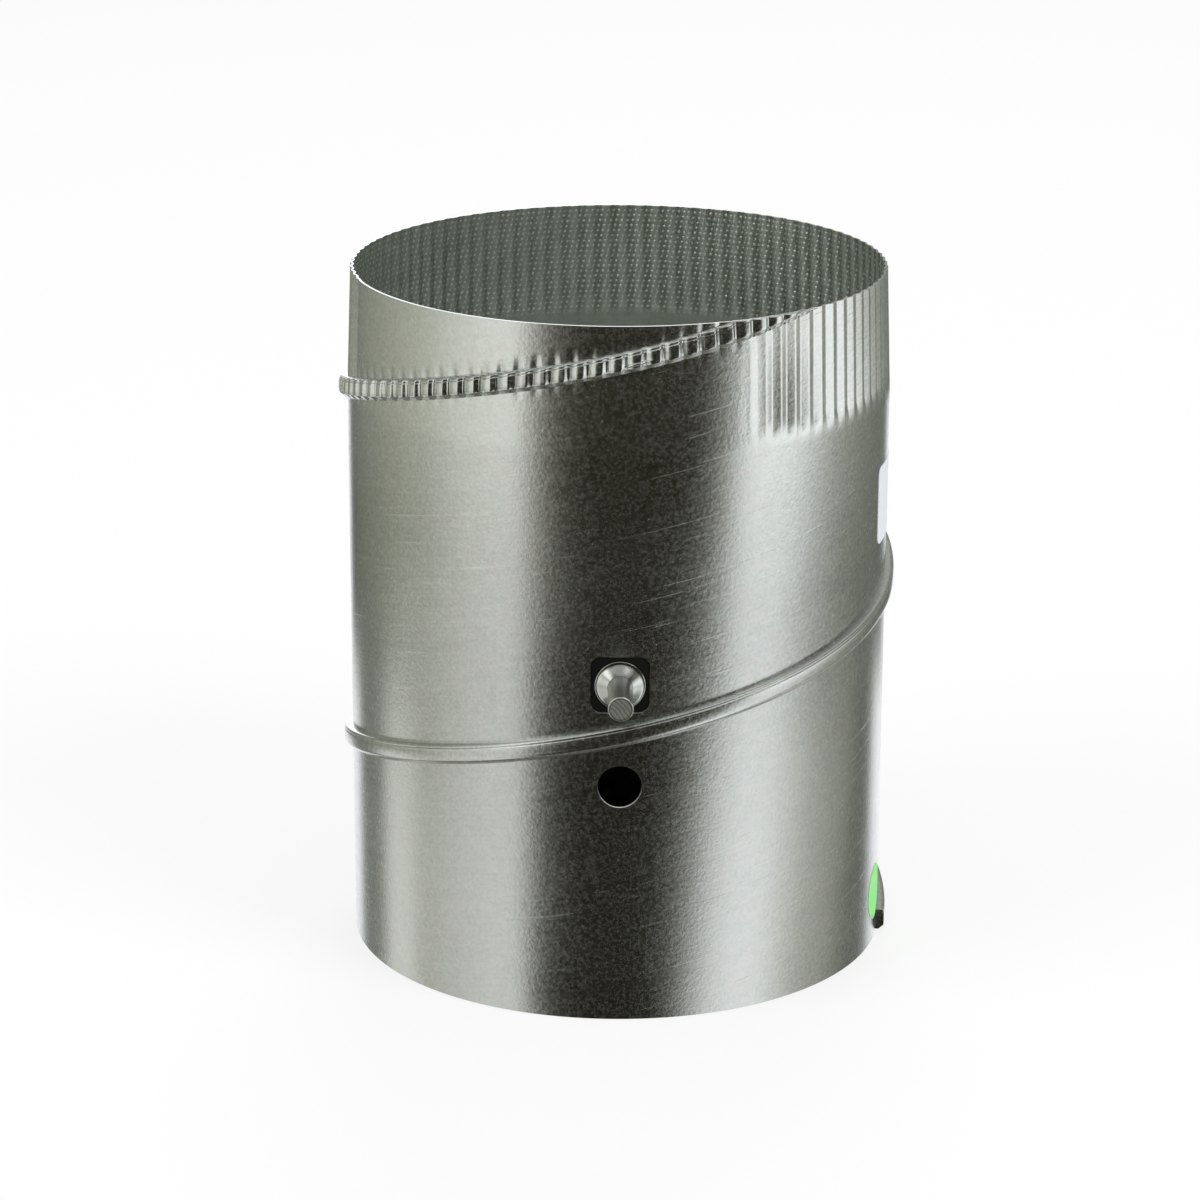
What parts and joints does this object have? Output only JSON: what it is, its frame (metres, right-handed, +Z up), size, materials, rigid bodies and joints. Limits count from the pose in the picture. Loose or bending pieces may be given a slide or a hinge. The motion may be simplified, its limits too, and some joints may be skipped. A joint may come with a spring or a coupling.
{
  "type": "round air damper",
  "caption": "Round galvanised duct damper: spiral lock-seam tube with one crimped end and a shaft-driven sealed butterfly blade that turns a quarter turn.",
  "frame": {"origin": "On the duct axis, in the plane of the plain lower rim.", "axes": "+Z runs up the duct to the crimped end. The shaft lies along Y at 113.5 mm, with its drive end towards -Y, the front. +X is to the right seen from the front."},
  "size_m": [0.1834, 0.2204, 0.2286],
  "materials": {
    "galvanised_sheet": "satin",
    "shaft_steel": "satin",
    "bright_steel": "polished",
    "zinc_plated_steel": "satin",
    "black_nylon": "matte",
    "seal_rubber": "matte",
    "label_paper": "matte",
    "green_sticker": "satin"
  },
  "bodies": {
    "root": {"duct_shell": "galvanised_sheet", "bearing_front": "black_nylon", "bearing_rear": "black_nylon", "stop_tab_left": "galvanised_sheet", "stop_tab_right": "galvanised_sheet", "blank_label": "label_paper", "inspection_dot": "green_sticker"},
    "blade": {"blade_upper_plate": "galvanised_sheet", "blade_lower_plate": "galvanised_sheet", "shaft": "shaft_steel", "shaft_collar_front": "bright_steel", "shaft_collar_rear": "bright_steel", "blade_bolt_front": "zinc_plated_steel", "blade_bolt_rear": "zinc_plated_steel", "bolt_washer_front_upper": "zinc_plated_steel", "bolt_washer_front_lower": "zinc_plated_steel", "bolt_washer_rear_upper": "zinc_plated_steel", "bolt_washer_rear_lower": "zinc_plated_steel", "blade_nut_front": "zinc_plated_steel", "blade_nut_rear": "zinc_plated_steel", "blade_rivet_1": "zinc_plated_steel", "blade_rivet_2": "zinc_plated_steel", "blade_rivet_3": "zinc_plated_steel", "blade_rivet_4": "zinc_plated_steel", "blade_rivet_5": "zinc_plated_steel", "blade_rivet_6": "zinc_plated_steel", "blade_rivet_7": "zinc_plated_steel", "blade_rivet_8": "zinc_plated_steel", "blade_seal_left": "seal_rubber", "blade_seal_right": "seal_rubber"}
  },
  "joints": [
    {"name": "blade_turn", "type": "hinge", "parent": "root", "child": "blade", "pos_m": [0, 0, 0.1135], "axis": [0, 1, 0], "range_deg": [0, 90]}
  ]
}
